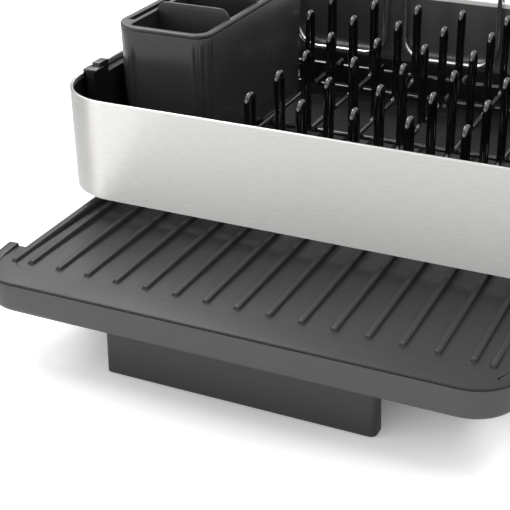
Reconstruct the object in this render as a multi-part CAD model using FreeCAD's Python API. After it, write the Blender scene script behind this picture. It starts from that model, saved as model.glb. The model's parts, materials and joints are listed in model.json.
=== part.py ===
import FreeCAD, Part
import math
import os

# Expandable dish rack: a steel band round a wire rack, with a ribbed draining tray that slides out
# in front. Millimetres. +X to the right along the front, +Y to the back, +Z up from the counter.
# The origin lies on the counter, in the middle of the whole footprint with the tray pulled out.

Vector = FreeCAD.Vector

# General clearances
RUNNING_GAP = 0.4
REST_GAP = 0.3
SCREW_GAP = 0.05

# Steel band
BAND_WIDTH = 357.2
BAND_DEPTH = 322.0
BAND_HEIGHT = 68.8
BAND_OVER_TRAY = 7.6
BAND_CORNER = 43.0
BAND_SHEET = 0.8
HEM_THICKNESS = 2.0
HEM_HEIGHT = 3.5
HEM_ROUND = 0.7

# Draining tray that slides out
EXTENSION = 109.7
TRAY_TOP = 62.0
TRAY_REAR_SPACE = 12.7
SHEET = 2.5
RIDGE_INSET = 5.2
RIDGE_RADIUS = 2.4
RIDGE_RISE = 1.8
RIB_COUNT = 15
RIB_MARGIN = 16.4
RIB_RADIUS = 2.2
RIB_RISE = 2.0
RIB_SETBACK = 24.3

# Wide front of the tray
FRONT_INSET = 10.4
FRONT_DEPTH = 43.3
FRONT_CORNER = 29.0
SHELL_DEPTH = 21.7
SHELL_WALL = 2.4
SHELL_ROUND = 5.0
SEAM_GAP = 0.6
RIM_THICKNESS = 1.6
RIM_ROUND = 0.8
LIP_WIDTH = 7.0
LIP_RISE = 2.0
LIP_SETBACK = 14.0
WEB_COUNT = 8
WEB_THICKNESS = 1.8

# Foot under the tray
FOOT_WIDTH = 175.0
FOOT_DEPTH = 12.0
FOOT_CORNER = 4.0
FOOT_FLARE = 0.7
FOOT_SETBACK = 20.3
PAD_HEIGHT = 2.5
PAD_SHOWS = 1.0
PAD_LENGTH = 40.0
PAD_WIDTH = 6.0
PAD_SPACING = 110.0

# Screws
SCREW_RADIUS = 2.0
HEAD_RADIUS = 3.8
HEAD_HEIGHT = 2.4
FOOT_SCREW_LENGTH = 14.0
BEAM_SCREW_LENGTH = 24.0
LEDGE_SCREW_RADIUS = 1.5
LEDGE_HEAD_RADIUS = 3.0
LEDGE_HEAD_HEIGHT = 1.8
LEDGE_SCREW_LENGTH = 10.0
LEDGE_SCREW_SPACING = 100.0

# Side walls, which carry the band and the wire rack
WALL_THICKNESS = 6.0
WALL_REAR_SETBACK = 43.4
WALL_OVER_TRAY = 4.0
LEDGE_THICKNESS = 4.0
WALL_STANDOFF = 2.5
SPACER_LENGTH = 8.0
SPACER_SETBACK = 20.0
LEDGE_WIDTH = 14.3
HOOK_LENGTH = 10.0
HOOK_THICKNESS = 2.0
HOOK_REACH = 2.1
LATCH_LENGTH = 11.0
LATCH_RISE = 2.5
LATCH_INSET = 3.4
WALL_SETBACK = 45.6

# Legs and cross beams
LEG_WIDTH = 14.0
LEG_LENGTH = 30.0
LEG_SETBACK = 3.0
LEG_BOTTOM = 2.0
RUBBER_RADIUS = 5.5
RUBBER_HEIGHT = 4.0
BEAM_WIDTH = 18.0
BEAM_HEIGHT = 12.0

# Slide channels
CHANNEL_WIDTH = 10.5
CHANNEL_FLOOR = 3.6
CHANNEL_SIDE = 4.5
STOP_WIDTH = 5.0
LUG_WIDTH = 4.0
STOP_LENGTH = 7.0
STOP_HEIGHT = 4.0

# Fixed drip tray under the rack
DRIP_DEPTH = 15.5
DRIP_WALL = 2.4
DRIP_SETBACK = 6.0

# Ledge along the back wall
REAR_LEDGE_END_GAP = 1.6
REAR_LEDGE_THICKNESS = 7.6
REAR_LEDGE_RISE = 12.8

# Wire rack
WIRE_RADIUS = 1.8
FRAME_WIRE_RADIUS = 2.5
FRAME_SIDE_SPACE = 7.8
FRAME_SETBACK = 13.6
FRAME_REAR_SETBACK = 23.4
FRAME_CORNER = 30.0
FRAME_OVER_LEDGE = 5.7
CROSS_COUNT = 3
CROSS_SETBACK = 60.5
CROSS_REAR_SETBACK = 72.5
COLUMN_COUNT = 7
COLUMN_CADDY_GAP = 5.5
CUP_SPACE = 32.8
ROW_COUNT = 6
ROW_SETBACK = 46.0
ROW_REAR_SETBACK = 44.5
SHORT_COLUMN_ROWS = 2
TINE_TOP = 142.0
TINE_SPREAD = 10.0
TINE_FOOT_BEND = 5.0
PAD_BLOCK_WIDTH = 11.0
PAD_BLOCK_LENGTH = 16.0
PAD_BLOCK_SETBACK = 45.0

# Cutlery caddy
CADDY_WALL_GAP = 1.8
CADDY_WIDTH = 73.5
CADDY_DEPTH = 166.0
CADDY_SETBACK = 66.6
CADDY_TOP = 167.0
CADDY_CORNERS = (20.0, 12.0, 10.0, 12.0)
CADDY_DRAFT = 1.5
CADDY_WALL = 2.2
CADDY_FLOOR = 2.4
INSERT_RIM = 2.6
INSERT_RIM_ROUND = 1.2
BIN_CORNERS = (4.0, 9.0, 9.0, 4.0)
INSERT_RIM_WIDTH = 3.2
INSERT_WALL = 1.6
INSERT_FLOOR_GAP = 12.1
SLOT_INSET = 5.2
SLOT_FRONT_INSET = 17.2
KNIFE_SLOT = 4.4
KNIFE_BAR = 3.5
DIVIDER_THICKNESS = 2.0
DIVIDER_RISE = 6.5
DIVIDER_CORNER = 8.0
DIVIDER_PLACES = (44.7, 89.2)
DRAIN_RADIUS = 3.0
DRAIN_COUNT = 5

# Rod loops on the back wall
LOOP_COUNT = 3
LOOP_SPACING = 16.4
LOOP_OVERHANG = 1.8
LOOP_ROD_RADIUS = 2.0
LOOP_CORNER = 19.0
LOOP_HOOK_RISE = 11.6
LOOP_HOOK_DROP = 22.0
LOOP_STANDOFF = 3.4

# Places that follow from the sizes above
HALF_BAND = BAND_WIDTH / 2
BAND_BOTTOM = TRAY_TOP + BAND_OVER_TRAY
BAND_TOP = BAND_BOTTOM + BAND_HEIGHT
HOOK_Y_REACH = REST_GAP + 2 * LOOP_ROD_RADIUS
TOTAL_LENGTH = EXTENSION + BAND_DEPTH + HOOK_Y_REACH
TRAY_FRONT = -TOTAL_LENGTH / 2
BAND_FRONT = TRAY_FRONT + EXTENSION
BAND_BACK = BAND_FRONT + BAND_DEPTH
INNER_BACK = BAND_BACK - BAND_SHEET
HALF_INNER = HALF_BAND - BAND_SHEET
SHELL_BOTTOM = TRAY_TOP - SHELL_DEPTH
WALL_BOTTOM = TRAY_TOP + WALL_OVER_TRAY
LEDGE_TOP = WALL_BOTTOM + LEDGE_THICKNESS
WALL_FRONT = BAND_FRONT + WALL_SETBACK
WALL_BACK = BAND_BACK - WALL_REAR_SETBACK
LEG_FRONT = WALL_FRONT + LEG_SETBACK
LEG_BACK = WALL_BACK
HALF_WALL_OUTSIDE = HALF_INNER - WALL_STANDOFF
HALF_WALL_INSIDE = HALF_WALL_OUTSIDE - WALL_THICKNESS
HALF_LEG_OUTSIDE = HALF_WALL_OUTSIDE
HALF_LEG_INSIDE = HALF_LEG_OUTSIDE - LEG_WIDTH
HALF_CHANNEL = HALF_LEG_INSIDE
HALF_MOUTH = HALF_CHANNEL - CHANNEL_WIDTH
HALF_FLANGE = HALF_CHANNEL - CHANNEL_SIDE - RUNNING_GAP
REAR_LEDGE_FRONT = INNER_BACK - REAR_LEDGE_THICKNESS
HALF_REAR_LEDGE = HALF_BAND - BAND_CORNER - REAR_LEDGE_END_GAP
REAR_LEDGE_TOP = BAND_BOTTOM + REAR_LEDGE_RISE
CHANNEL_FLOOR_TOP = TRAY_TOP - SHEET - RUNNING_GAP
CHANNEL_BOTTOM = CHANNEL_FLOOR_TOP - CHANNEL_FLOOR
DRIP_TOP = CHANNEL_BOTTOM
DRIP_BOTTOM = DRIP_TOP - DRIP_DEPTH
TRAY_BACK = TRAY_FRONT + BAND_DEPTH - TRAY_REAR_SPACE
FRONT_BACK = TRAY_FRONT + FRONT_DEPTH
HALF_FRONT = HALF_BAND - FRONT_INSET
WEB_PITCH = 2 * (HALF_FRONT - 2 * SHELL_WALL) / (WEB_COUNT + 1)
RIB_PITCH = 2 * (HALF_FLANGE - RIB_MARGIN) / (RIB_COUNT - 1)
HALF_FRAME = HALF_WALL_INSIDE - FRAME_SIDE_SPACE
FRAME_FRONT = BAND_FRONT + FRAME_SETBACK
FRAME_BACK = BAND_BACK - FRAME_REAR_SETBACK
FRAME_HEIGHT = LEDGE_TOP + FRAME_OVER_LEDGE
FLOOR_WIRE_Z = FRAME_HEIGHT + FRAME_WIRE_RADIUS + WIRE_RADIUS
CROSS_WIRE_Z = FLOOR_WIRE_Z - 2 * WIRE_RADIUS
CROSS_PITCH = (BAND_DEPTH - CROSS_SETBACK - CROSS_REAR_SETBACK) / (CROSS_COUNT - 1)
ROW_PITCH = (BAND_DEPTH - ROW_SETBACK - ROW_REAR_SETBACK) / (ROW_COUNT - 1)
CADDY_BOTTOM = CROSS_WIRE_Z + WIRE_RADIUS + REST_GAP
CADDY_LEFT = -HALF_WALL_INSIDE + CADDY_WALL_GAP
INSERT_DROP = CADDY_TOP - CADDY_BOTTOM - CADDY_FLOOR - INSERT_FLOOR_GAP
COLUMN_FIRST = CADDY_LEFT + CADDY_WIDTH + COLUMN_CADDY_GAP
COLUMN_PITCH = (HALF_FRAME - CUP_SPACE - COLUMN_FIRST) / (COLUMN_COUNT - 1)
CADDY_FRONT = BAND_FRONT + CADDY_SETBACK
LOOP_SILL = REAR_LEDGE_TOP + REST_GAP + LOOP_ROD_RADIUS
LOOP_PITCH = (2 * (HALF_REAR_LEDGE + LOOP_OVERHANG) + LOOP_SPACING) / LOOP_COUNT
LOOP_WIDTH = LOOP_PITCH - LOOP_SPACING
LOOP_HOOK_TOP = BAND_TOP + LOOP_HOOK_RISE
SIDES = (("left", -1), ("right", 1))


def box(x0, x1, y0, y1, z0, z1):
    """A box between two corners, given as ranges."""
    return Part.makeBox(x1 - x0, y1 - y0, z1 - z0, Vector(x0, y0, z0))


def side_box(side, half0, half1, y0, y1, z0, z1):
    """A box given by its distances from the middle plane, on the left or the right."""
    x0, x1 = sorted((side * half0, side * half1))
    return box(x0, x1, y0, y1, z0, z1)


def rod(x, y, z, direction, radius, length):
    """A straight round bar from a point along a direction."""
    return Part.makeCylinder(radius, length, Vector(x, y, z), Vector(*direction))


def rounded_outline(x0, x1, y0, y1, corners, z):
    """A closed outline with one radius per corner: front left, front right, back right, back left."""
    turns = (
        (x0, y0, 1, 1, corners[0], 180),
        (x1, y0, -1, 1, corners[1], 270),
        (x1, y1, -1, -1, corners[2], 0),
        (x0, y1, 1, -1, corners[3], 90),
    )
    edges = []
    ends = []
    for x, y, inward_x, inward_y, radius, start in turns:
        if radius > 0:
            centre = Vector(x + inward_x * radius, y + inward_y * radius, z)
            arc = Part.makeCircle(radius, centre, Vector(0, 0, 1), start, start + 90)
            ends.append((arc.Vertexes[0].Point, arc.Vertexes[1].Point))
            edges.append(arc)
        else:
            ends.append((Vector(x, y, z), Vector(x, y, z)))
    for index in range(4):
        start = ends[index][1]
        finish = ends[(index + 1) % 4][0]
        if start.distanceToPoint(finish) > 1e-6:
            edges.append(Part.makeLine(start, finish))
    return Part.Wire(Part.__sortEdges__(edges))


def plate(x0, x1, y0, y1, corners, z0, z1):
    """A flat plate with rounded corners."""
    face = Part.Face(rounded_outline(x0, x1, y0, y1, corners, z0))
    return face.extrude(Vector(0, 0, z1 - z0))


def tapered_plate(low, high, z0, z1):
    """A solid between two rounded outlines, each given as x0, x1, y0, y1 and the corner radii."""
    outlines = [rounded_outline(*low, z0), rounded_outline(*high, z1)]
    return Part.makeLoft(outlines, True, True)


def bent_path(points, radii):
    """Straight runs joined by tangent arcs: one radius for each point between the ends."""
    edges = []
    start = points[0]
    for index, radius in enumerate(radii, start=1):
        corner = points[index]
        arriving = (corner - points[index - 1]).normalize()
        leaving = (points[index + 1] - corner).normalize()
        half_turn = arriving.getAngle(leaving) / 2
        cut = radius * math.tan(half_turn)
        arc_start = corner - arriving * cut
        arc_end = corner + leaving * cut
        towards_centre = (leaving - arriving).normalize()
        middle = corner + towards_centre * (radius / math.cos(half_turn) - radius)
        if start.distanceToPoint(arc_start) > 1e-6:
            edges.append(Part.makeLine(start, arc_start))
        edges.append(Part.Arc(arc_start, middle, arc_end).toShape())
        start = arc_end
    edges.append(Part.makeLine(start, points[-1]))
    return Part.Wire(edges)


def bent_rod(points, radii, rod_radius):
    """A round bar bent along a path of runs and arcs."""
    path = bent_path(points, radii)
    section = Part.Wire(Part.makeCircle(rod_radius, points[0], points[1] - points[0]))
    return path.makePipeShell([section], True, False)


def fillet_where(solid, radius, wanted):
    """Rounds the edges of a solid for which the test is true."""
    edges = [edge for edge in solid.Edges if wanted(edge)]
    return solid.makeFillet(radius, edges)


def lies_at_height(edge, height):
    """True where the whole edge lies in one level plane."""
    limits = edge.BoundBox
    return abs(limits.ZMin - height) < 1e-4 and abs(limits.ZMax - height) < 1e-4


def band_plate(inset, z0, z1):
    """The filled outline of the band, drawn in by an inset."""
    corner = BAND_CORNER - inset
    return plate(
        -HALF_BAND + inset, HALF_BAND - inset,
        BAND_FRONT + inset, BAND_BACK - inset,
        (corner,) * 4, z0, z1,
    )


def steel_band():
    """The band: a sheet steel wall bent round, with its top edge folded inwards as a rounded hem."""
    wall = band_plate(0, BAND_BOTTOM, BAND_TOP)
    wall = wall.cut(band_plate(BAND_SHEET, BAND_BOTTOM - 1, BAND_TOP - HEM_HEIGHT))
    wall = wall.cut(band_plate(HEM_THICKNESS, BAND_TOP - HEM_HEIGHT - 1, BAND_TOP + 1))
    return fillet_where(wall, HEM_ROUND, lambda edge: lies_at_height(edge, BAND_TOP))


def side_wall(side):
    """One inner side wall: a wall held off the band by spacers, a ledge for the rack and hooks."""
    below_hem = BAND_TOP - HEM_HEIGHT - REST_GAP
    over_hem = BAND_TOP + REST_GAP
    hook_top = over_hem + HOOK_THICKNESS
    wall = side_box(
        side, HALF_WALL_INSIDE, HALF_WALL_OUTSIDE, WALL_FRONT, WALL_BACK, WALL_BOTTOM, below_hem,
    )
    pieces = [side_box(
        side, HALF_WALL_INSIDE - LEDGE_WIDTH, HALF_WALL_INSIDE,
        LEG_FRONT, WALL_BACK, WALL_BOTTOM, LEDGE_TOP,
    )]
    for start in (WALL_FRONT + SPACER_SETBACK, WALL_BACK - SPACER_SETBACK - SPACER_LENGTH):
        pieces.append(side_box(
            side, HALF_WALL_OUTSIDE, HALF_INNER, start, start + SPACER_LENGTH, LEDGE_TOP, below_hem,
        ))
    half_hook = HALF_WALL_INSIDE - HOOK_REACH
    half_hook_end = HALF_BAND - HEM_THICKNESS / 2
    for start in (WALL_FRONT, WALL_BACK - HOOK_LENGTH):
        finish = start + HOOK_LENGTH
        pieces.append(side_box(
            side, HALF_WALL_INSIDE, HALF_WALL_OUTSIDE, start, finish, below_hem, over_hem,
        ))
        pieces.append(side_box(side, half_hook, half_hook_end, start, finish, over_hem, hook_top))
    latch_front = WALL_FRONT + HOOK_LENGTH - HOOK_THICKNESS
    latch_back = latch_front + LATCH_LENGTH
    pieces.append(side_box(
        side, HALF_WALL_INSIDE, HALF_BAND - LATCH_INSET, latch_front, latch_back,
        below_hem, hook_top + LATCH_RISE,
    ))
    return wall.multiFuse(pieces).removeSplitter()


def leg_y_range(end):
    """Where a leg stands along Y, for the front or the rear end."""
    if end == "front":
        return LEG_FRONT, LEG_FRONT + LEG_LENGTH
    return LEG_BACK - LEG_LENGTH, LEG_BACK


def beam_y_range(end):
    """Where a cross beam lies along Y, centred on its legs."""
    leg_start, leg_end = leg_y_range(end)
    middle = (leg_start + leg_end) / 2
    return middle - BEAM_WIDTH / 2, middle + BEAM_WIDTH / 2


def beam_screw_hole(side, end, radius, length):
    """The bore for a beam screw, from outside the leg inwards."""
    beam_start, beam_end = beam_y_range(end)
    middle = (beam_start + beam_end) / 2
    height = DRIP_BOTTOM - BEAM_HEIGHT / 2
    return rod(side * HALF_LEG_OUTSIDE, middle, height, (-side, 0, 0), radius, length)


def leg(side, end):
    """One leg of the base, with a socket for its rubber foot and the beam screw's bore."""
    start, finish = leg_y_range(end)
    body = side_box(side, HALF_LEG_INSIDE, HALF_LEG_OUTSIDE, start, finish, LEG_BOTTOM, WALL_BOTTOM)
    middle_x = side * (HALF_LEG_INSIDE + HALF_LEG_OUTSIDE) / 2
    socket = rod(
        middle_x, (start + finish) / 2, LEG_BOTTOM - 1, (0, 0, 1),
        RUBBER_RADIUS + SCREW_GAP, RUBBER_HEIGHT - LEG_BOTTOM + 1,
    )
    bore = beam_screw_hole(side, end, SCREW_RADIUS + SCREW_GAP, LEG_WIDTH)
    head_seat = beam_screw_hole(side, end, HEAD_RADIUS + REST_GAP, HEAD_HEIGHT)
    body = fillet_where(body, 2.0, lambda edge: edge.BoundBox.ZLength > LEG_LENGTH)
    return body.cut(socket).cut(bore).cut(head_seat)


def rubber_feet():
    """Four rubber feet, pushed into the sockets of the legs."""
    feet = []
    for _, side in SIDES:
        for end in ("front", "rear"):
            start, finish = leg_y_range(end)
            middle_x = side * (HALF_LEG_INSIDE + HALF_LEG_OUTSIDE) / 2
            feet.append(rod(
                middle_x, (start + finish) / 2, 0, (0, 0, 1), RUBBER_RADIUS, RUBBER_HEIGHT,
            ))
    return Part.makeCompound(feet)


def cross_beam(end):
    """A beam across the base, between a left and a right leg."""
    start, finish = beam_y_range(end)
    beam = box(
        -HALF_LEG_INSIDE, HALF_LEG_INSIDE, start, finish, DRIP_BOTTOM - BEAM_HEIGHT, DRIP_BOTTOM,
    )
    for _, side in SIDES:
        beam = beam.cut(beam_screw_hole(side, end, SCREW_RADIUS + SCREW_GAP, BEAM_SCREW_LENGTH + 1))
    return beam


def beam_screws():
    """Four screws that hold the legs to the cross beams."""
    screws = []
    for _, side in SIDES:
        for end in ("front", "rear"):
            head = beam_screw_hole(side, end, HEAD_RADIUS, HEAD_HEIGHT)
            shank = beam_screw_hole(side, end, SCREW_RADIUS, BEAM_SCREW_LENGTH)
            screws.append(head.fuse(shank).removeSplitter())
    return Part.makeCompound(screws)


def slide_channel(side):
    """The channel in which one flange of the draining tray runs, with a stop block for its end."""
    outer = side_box(
        side, HALF_MOUTH, HALF_CHANNEL, LEG_FRONT, REAR_LEDGE_FRONT - 2, CHANNEL_BOTTOM, WALL_BOTTOM,
    )
    groove_top = TRAY_TOP + RIDGE_RISE + RUNNING_GAP
    groove = side_box(
        side, HALF_MOUTH - 1, HALF_FLANGE + RUNNING_GAP,
        LEG_FRONT - 1, REAR_LEDGE_FRONT, CHANNEL_FLOOR_TOP, groove_top,
    )
    stop_back = TRAY_BACK - STOP_LENGTH - REST_GAP
    stop = side_box(
        side, HALF_MOUTH - STOP_WIDTH, HALF_MOUTH,
        stop_back - STOP_LENGTH, stop_back, groove_top, groove_top + STOP_HEIGHT,
    )
    return outer.cut(groove).fuse(stop).removeSplitter()


def drip_tray():
    """The fixed drip tray under the rack: a shallow pan."""
    half = HALF_MOUTH + CHANNEL_WIDTH / 2
    front = LEG_FRONT + DRIP_SETBACK
    pan = plate(-half, half, front, REAR_LEDGE_FRONT, (8, 8, 0, 0), DRIP_BOTTOM, DRIP_TOP)
    hollow = plate(
        -half + DRIP_WALL, half - DRIP_WALL, front + DRIP_WALL, REAR_LEDGE_FRONT - DRIP_WALL,
        (6, 6, 3, 3), DRIP_BOTTOM + DRIP_WALL, DRIP_TOP + 1,
    )
    pan = pan.cut(hollow)
    for bore in ledge_screw_shapes(LEDGE_SCREW_RADIUS + SCREW_GAP, LEDGE_SCREW_LENGTH + 1):
        pan = pan.cut(bore)
    return pan


def ledge_screw_shapes(radius, length):
    """Round shapes at the places of the ledge screws, from the back face of the ledge forwards."""
    height = (DRIP_TOP + DRIP_BOTTOM) / 2 + 1
    shapes = []
    for step in (-1, 0, 1):
        shapes.append(rod(step * LEDGE_SCREW_SPACING, INNER_BACK, height, (0, -1, 0), radius, length))
    return shapes


def rear_ledge():
    """The ledge inside the back wall, on which the rod loops stand."""
    body = box(
        -HALF_REAR_LEDGE, HALF_REAR_LEDGE, REAR_LEDGE_FRONT, INNER_BACK, DRIP_BOTTOM, REAR_LEDGE_TOP,
    )
    for bore in ledge_screw_shapes(LEDGE_SCREW_RADIUS + SCREW_GAP, REAR_LEDGE_THICKNESS):
        body = body.cut(bore)
    for seat in ledge_screw_shapes(LEDGE_HEAD_RADIUS + REST_GAP, LEDGE_HEAD_HEIGHT):
        body = body.cut(seat)
    return body


def ledge_screws():
    """Three screws that hold the rear ledge to the drip tray."""
    heads = ledge_screw_shapes(LEDGE_HEAD_RADIUS, LEDGE_HEAD_HEIGHT)
    shanks = ledge_screw_shapes(LEDGE_SCREW_RADIUS, LEDGE_SCREW_LENGTH)
    return Part.makeCompound([head.fuse(shank).removeSplitter() for head, shank in zip(heads, shanks)])


def front_plate(inset, z0, z1, back=FRONT_BACK):
    """The filled outline of the tray's wide front, drawn in by an inset on its three outer sides."""
    half = HALF_FRONT - inset
    corner = FRONT_CORNER - inset
    return plate(-half, half, TRAY_FRONT + inset, back, (corner, corner, 0, 0), z0, z1)


def rib_places():
    """The middles of the ribs along X."""
    first = -(RIB_COUNT - 1) / 2 * RIB_PITCH
    return [first + index * RIB_PITCH for index in range(RIB_COUNT)]


def side_lips():
    """The low walls along the sides of the wide front, which rise towards the back."""
    top = TRAY_TOP + LIP_RISE
    lips = front_plate(0, TRAY_TOP, top).cut(front_plate(LIP_WIDTH, TRAY_TOP, top, FRONT_BACK + 1))
    lip_front = TRAY_FRONT + LIP_SETBACK
    half = HALF_FRONT + 1
    corners = [
        Vector(-half, TRAY_FRONT - 1, TRAY_TOP - 1),
        Vector(-half, lip_front, TRAY_TOP - 1),
        Vector(-half, lip_front, TRAY_TOP),
        Vector(-half, FRONT_BACK, top),
        Vector(-half, FRONT_BACK, top + 1),
        Vector(-half, TRAY_FRONT - 1, top + 1),
    ]
    above = Part.Face(Part.makePolygon(corners + corners[:1])).extrude(Vector(2 * half, 0, 0))
    return lips.cut(above)


def tray_insert():
    """The ribbed draining sheet: wide in front, with a rounded ridge along each flange."""
    bottom = TRAY_TOP - SHEET
    front = front_plate(0, TRAY_TOP - RIM_THICKNESS, TRAY_TOP)
    front = fillet_where(
        front, RIM_ROUND,
        lambda edge: lies_at_height(edge, TRAY_TOP) and edge.CenterOfMass.y < FRONT_BACK - 1,
    )
    pieces = [
        front_plate(SHELL_WALL + SEAM_GAP, bottom, TRAY_TOP - RIM_THICKNESS),
        box(-HALF_FLANGE, HALF_FLANGE, FRONT_BACK - 1, TRAY_BACK, bottom, TRAY_TOP),
    ]
    pieces += side_lips().Solids
    rib_front = TRAY_FRONT + RIB_SETBACK
    rib_axis = TRAY_TOP + RIB_RISE - RIB_RADIUS
    rib_back = TRAY_BACK - 3 * RIB_RADIUS
    for x in rib_places():
        start = Vector(x, rib_front + RIB_RADIUS, rib_axis)
        length = rib_back - start.y
        pieces.append(Part.makeCylinder(RIB_RADIUS, length, start, Vector(0, 1, 0)))
        pieces.append(Part.makeSphere(RIB_RADIUS, start))
    ridge_axis = TRAY_TOP + RIDGE_RISE - RIDGE_RADIUS
    for _, side in SIDES:
        start = Vector(side * (HALF_FLANGE - RIDGE_INSET), rib_front, ridge_axis)
        length = TRAY_BACK - STOP_LENGTH - REST_GAP - start.y
        pieces.append(Part.makeCylinder(RIDGE_RADIUS, length, start, Vector(0, 1, 0)))
        pieces.append(Part.makeSphere(RIDGE_RADIUS, start))
    body = front.multiFuse(pieces)
    below = box(-HALF_FLANGE, HALF_FLANGE, TRAY_FRONT, TRAY_BACK, bottom - 2 * RIB_RADIUS, bottom)
    return body.cut(below).removeSplitter()


def tray_stops():
    """Two lugs on the back end of the tray, which meet the stop blocks when it is pulled out."""
    lugs = []
    half_inner = HALF_MOUTH - STOP_WIDTH
    top = TRAY_TOP + RIDGE_RISE + STOP_HEIGHT
    for _, side in SIDES:
        lugs.append(side_box(
            side, half_inner, half_inner + LUG_WIDTH, TRAY_BACK - STOP_LENGTH, TRAY_BACK, TRAY_TOP, top,
        ))
    return Part.makeCompound(lugs)


def foot_screw_places():
    """The places of the foot screws along X, each in the middle between two webs of the casing."""
    return [step * WEB_PITCH for step in (-2, 0, 2)]


def foot_middle_y():
    """The middle of the foot along Y."""
    return TRAY_FRONT + FOOT_SETBACK + FOOT_DEPTH / 2


def tray_shell():
    """The casing under the tray's front: a pan with webs inside that carry the draining sheet."""
    seat = TRAY_TOP - SHEET
    outer = front_plate(0, SHELL_BOTTOM, TRAY_TOP - RIM_THICKNESS - SEAM_GAP)
    outer = fillet_where(
        outer, SHELL_ROUND,
        lambda edge: lies_at_height(edge, SHELL_BOTTOM) and edge.CenterOfMass.y < FRONT_BACK - 1,
    )
    insert_room = front_plate(SHELL_WALL, seat, TRAY_TOP, FRONT_BACK + 1)
    hollow = front_plate(2 * SHELL_WALL, SHELL_BOTTOM + SHELL_WALL, seat + 1, FRONT_BACK - SHELL_WALL)
    shell = outer.cut(insert_room).cut(hollow)
    webs = []
    for index in range(WEB_COUNT):
        x = (index - (WEB_COUNT - 1) / 2) * WEB_PITCH
        webs.append(box(
            x - WEB_THICKNESS / 2, x + WEB_THICKNESS / 2,
            TRAY_FRONT + SHELL_WALL, FRONT_BACK - SHELL_WALL, SHELL_BOTTOM + SHELL_WALL, seat,
        ))
    shell = shell.multiFuse(webs).removeSplitter()
    for x in foot_screw_places():
        bore = rod(
            x, foot_middle_y(), SHELL_BOTTOM - 1, (0, 0, 1), SCREW_RADIUS + SCREW_GAP, SHELL_WALL + 2,
        )
        shell = shell.cut(bore)
    return shell


def foot_outline(grow):
    """The foot's outline in plan, larger by a flare on every side."""
    half = FOOT_WIDTH / 2 + grow
    front = TRAY_FRONT + FOOT_SETBACK - grow
    back = TRAY_FRONT + FOOT_SETBACK + FOOT_DEPTH + grow
    return (-half, half, front, back, (FOOT_CORNER,) * 4)


def pad_boxes(grow, low, high):
    """The two pads under the foot, or their recesses."""
    middle = foot_middle_y()
    shapes = []
    for _, side in SIDES:
        x = side * PAD_SPACING / 2
        shapes.append(plate(
            x - PAD_LENGTH / 2 - grow, x + PAD_LENGTH / 2 + grow,
            middle - PAD_WIDTH / 2 - grow, middle + PAD_WIDTH / 2 + grow,
            (2.5,) * 4, low, high,
        ))
    return shapes


def tray_foot():
    """The wide foot that holds the tray up: a slab that widens a little towards the counter."""
    slab = tapered_plate(foot_outline(FOOT_FLARE), foot_outline(0), PAD_SHOWS, SHELL_BOTTOM)
    for recess in pad_boxes(SCREW_GAP, PAD_SHOWS - 1, PAD_HEIGHT):
        slab = slab.cut(recess)
    for x in foot_screw_places():
        depth = FOOT_SCREW_LENGTH
        bore = rod(
            x, foot_middle_y(), SHELL_BOTTOM - depth, (0, 0, 1), SCREW_RADIUS + SCREW_GAP, depth + 1,
        )
        slab = slab.cut(bore)
    return slab


def foot_pads():
    """Two soft pads set into the underside of the foot."""
    return Part.makeCompound(pad_boxes(0, 0, PAD_HEIGHT))


def foot_screws():
    """Three screws through the floor of the shell into the foot."""
    screws = []
    floor = SHELL_BOTTOM + SHELL_WALL
    for x in foot_screw_places():
        shank = rod(x, foot_middle_y(), floor, (0, 0, -1), SCREW_RADIUS, FOOT_SCREW_LENGTH)
        head = rod(x, foot_middle_y(), floor, (0, 0, 1), HEAD_RADIUS, HEAD_HEIGHT)
        screws.append(shank.fuse(head).removeSplitter())
    return Part.makeCompound(screws)


def frame_wire():
    """The rack's outer wire: a closed ring with rounded corners."""
    path = rounded_outline(
        -HALF_FRAME, HALF_FRAME, FRAME_FRONT, FRAME_BACK, (FRAME_CORNER,) * 4, FRAME_HEIGHT,
    )
    start = path.Edges[0]
    at = start.FirstParameter
    section = Part.Wire(Part.makeCircle(FRAME_WIRE_RADIUS, start.valueAt(at), start.tangentAt(at)))
    return path.makePipeShell([section], True, False)


def cross_wire(index):
    """A straight wire across the rack, welded between the sides of the outer wire."""
    half = HALF_FRAME - FRAME_WIRE_RADIUS
    y = BAND_FRONT + CROSS_SETBACK + index * CROSS_PITCH
    return rod(-half, y, CROSS_WIRE_Z, (1, 0, 0), WIRE_RADIUS, 2 * half)


def row_places():
    """The middles of the rows of prongs along Y."""
    first = BAND_FRONT + ROW_SETBACK
    return [first + index * ROW_PITCH for index in range(ROW_COUNT)]


def prong_wire(column):
    """One wire bent up and down into a row of prongs. The first is short of prongs beside the caddy."""
    x = COLUMN_FIRST + column * COLUMN_PITCH
    rows = row_places()
    if column == 0:
        rows = rows[-SHORT_COLUMN_ROWS:]
    top = TINE_TOP - WIRE_RADIUS
    reach = FRAME_WIRE_RADIUS
    points = [Vector(x, FRAME_FRONT - reach, FLOOR_WIRE_Z)]
    radii = []
    for y in rows:
        front = y - TINE_SPREAD / 2
        back = y + TINE_SPREAD / 2
        points.append(Vector(x, front, FLOOR_WIRE_Z))
        points.append(Vector(x, front, top))
        points.append(Vector(x, back, top))
        points.append(Vector(x, back, FLOOR_WIRE_Z))
        radii += [TINE_FOOT_BEND, TINE_SPREAD / 2, TINE_SPREAD / 2, TINE_FOOT_BEND]
    points.append(Vector(x, FRAME_BACK + reach, FLOOR_WIRE_Z))
    return bent_rod(points, radii, WIRE_RADIUS)


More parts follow.
